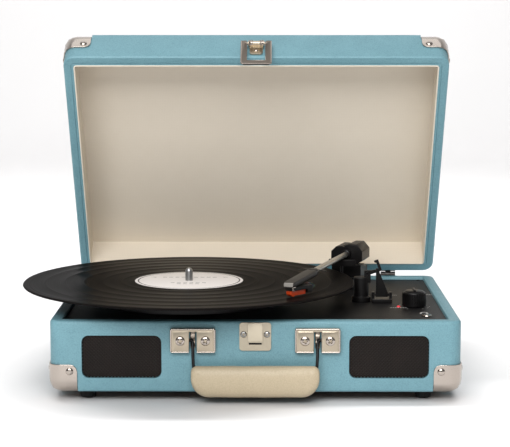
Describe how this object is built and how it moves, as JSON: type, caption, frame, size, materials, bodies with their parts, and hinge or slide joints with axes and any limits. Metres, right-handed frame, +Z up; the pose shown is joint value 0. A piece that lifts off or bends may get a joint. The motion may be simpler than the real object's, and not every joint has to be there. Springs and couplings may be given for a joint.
{
  "type": "turntable record player",
  "caption": "Suitcase record player with hinged lid, belt-driven platter and record, pivoting tonearm, front speakers, latch, corner caps and folding carrying handle.",
  "frame": {"origin": "middle of the bounding box's underside, on the surface that the feet stand on", "axes": "+X to the right seen from the front, +Y to the back where the hinges are, +Z up"},
  "size_m": [0.3904, 0.3384, 0.3123],
  "materials": {
    "case_vinyl": "textured vinyl over board",
    "lining": "woven linen-look lining",
    "nickel": "polished nickel plate",
    "steel": "plain steel",
    "handle_wire": "black lacquered wire",
    "black_plastic": "moulded satin black",
    "deck": "matte black deck",
    "board": "hardboard",
    "rubber": "black rubber",
    "felt": "black felt",
    "record_vinyl": "pressed grooves, glossy",
    "speaker_mesh": "black perforated mesh",
    "handle_cover": "cream leatherette",
    "arm_tube": "brushed",
    "stylus_orange": "orange-red moulding",
    "led_red": "red lens",
    "circuit": "green circuit board",
    "brass": "turned"
  },
  "bodies": {
    "base": {"base_case": "case_vinyl", "bottom_panel": "board", "deck_plate": "deck", "base_cap_front_left": "nickel", "base_cap_front_right": "nickel", "base_cap_rear_left": "nickel", "base_cap_rear_right": "nickel", "foot_front_left": "rubber", "foot_front_right": "rubber", "foot_rear_left": "rubber", "foot_rear_right": "rubber", "speaker_grille_left": "speaker_mesh", "speaker_grille_right": "speaker_mesh", "speaker_driver_left": "steel", "speaker_driver_right": "steel", "handle_bracket_left": "nickel", "handle_bracket_right": "nickel", "latch_catch": "nickel", "hinge_base_left": "steel", "hinge_base_right": "steel", "spindle_bearing": "brass", "motor": "steel", "drive_belt": "rubber", "circuit_board": "circuit", "tonearm_base": "black_plastic", "arm_rest": "black_plastic", "cue_bracket": "black_plastic", "power_led": "led_red", "headphone_jack": "nickel", "volume_control": "steel", "rear_sockets": "black_plastic"},
    "lid": {"lid_shell": "case_vinyl", "lid_liner": "lining", "lid_cap_front_left": "nickel", "lid_cap_front_right": "nickel", "lid_cap_rear_left": "nickel", "lid_cap_rear_right": "nickel", "hinge_lid_left": "steel", "hinge_lid_right": "steel", "lid_latch_plate": "nickel"},
    "latch": {"latch_loop": "nickel"},
    "handle": {"handle_bail": "handle_wire", "handle_grip": "handle_cover"},
    "turntable": {"platter": "black_plastic", "slip_mat": "felt", "spindle": "steel", "record": "record_vinyl"},
    "rotor": {"motor_pulley": "brass"},
    "arm_yoke": {"tonearm_yoke": "black_plastic"},
    "arm": {"tonearm_housing": "black_plastic", "tonearm_tube": "arm_tube", "headshell": "black_plastic", "cartridge": "black_plastic", "stylus": "stylus_orange"},
    "lifter": {"arm_lifter": "black_plastic"},
    "clip": {"rest_clip": "black_plastic"},
    "cue": {"cue_lever": "black_plastic"},
    "knob": {"volume_knob": "black_plastic"},
    "selector": {"speed_selector": "black_plastic"}
  },
  "joints": [
    {"name": "lid_hinge", "type": "hinge", "parent": "base", "child": "lid", "pos_m": [0.0169, 0.13889, 0.07095], "axis": [-1, 0, 0], "range_deg": [-25, 0]},
    {"name": "latch_swing", "type": "hinge", "parent": "lid", "child": "latch", "pos_m": [0.0169, 0.01267, 0.30502], "axis": [-1, 0, 0], "range_deg": [0, 120]},
    {"name": "handle_swing", "type": "hinge", "parent": "base", "child": "handle", "pos_m": [0.0169, -0.12316, 0.0545], "axis": [-1, 0, 0], "range_deg": [0, 100]},
    {"name": "platter_spin", "type": "hinge", "parent": "base", "child": "turntable", "pos_m": [-0.0444, -0.01841, 0.0856], "axis": [0, 0, -1], "continuous": true},
    {"name": "motor_spin", "type": "hinge", "parent": "base", "child": "rotor", "pos_m": [-0.0044, 0.05087, 0.078], "axis": [0, 0, -1], "continuous": true},
    {"name": "tonearm_swing", "type": "hinge", "parent": "base", "child": "arm_yoke", "pos_m": [0.1074, 0.07859, 0.09], "axis": [0, 0, 1], "range_deg": [-22, 22]},
    {"name": "tonearm_lift", "type": "hinge", "parent": "arm_yoke", "child": "arm", "pos_m": [0.1074, 0.07859, 0.102], "axis": [-0.9537, 0.3007, 0], "range_deg": [0, 12]},
    {"name": "lifter_rise", "type": "slide", "parent": "base", "child": "lifter", "axis": [0, 0, 1], "range_m": [0, 0.0056]},
    {"name": "cue_raise", "type": "hinge", "parent": "base", "child": "cue", "pos_m": [0.1328, -0.00841, 0.075], "axis": [1, 0, 0], "range_deg": [0, 50]},
    {"name": "clip_swing", "type": "hinge", "parent": "base", "child": "clip", "pos_m": [0.1195, -0.00441, 0.0946], "axis": [0, 1, 0], "range_deg": [-70, 0]},
    {"name": "volume_turn", "type": "hinge", "parent": "base", "child": "knob", "pos_m": [0.1605, -0.03191, 0.07], "axis": [0, 0, -1], "range_deg": [-60, 210]},
    {"name": "selector_slide", "type": "slide", "parent": "base", "child": "selector", "axis": [1, 0, 0], "range_m": [-0.006, 0.006]}
  ],
  "couplings": [
    {"joint": "motor_spin", "follows": "platter_spin", "ratio": 24},
    {"joint": "tonearm_lift", "follows": "cue_raise", "ratio": 0.24},
    {"joint": "lifter_rise", "follows": "cue_raise", "m_per_rad": 0.0063}
  ]
}
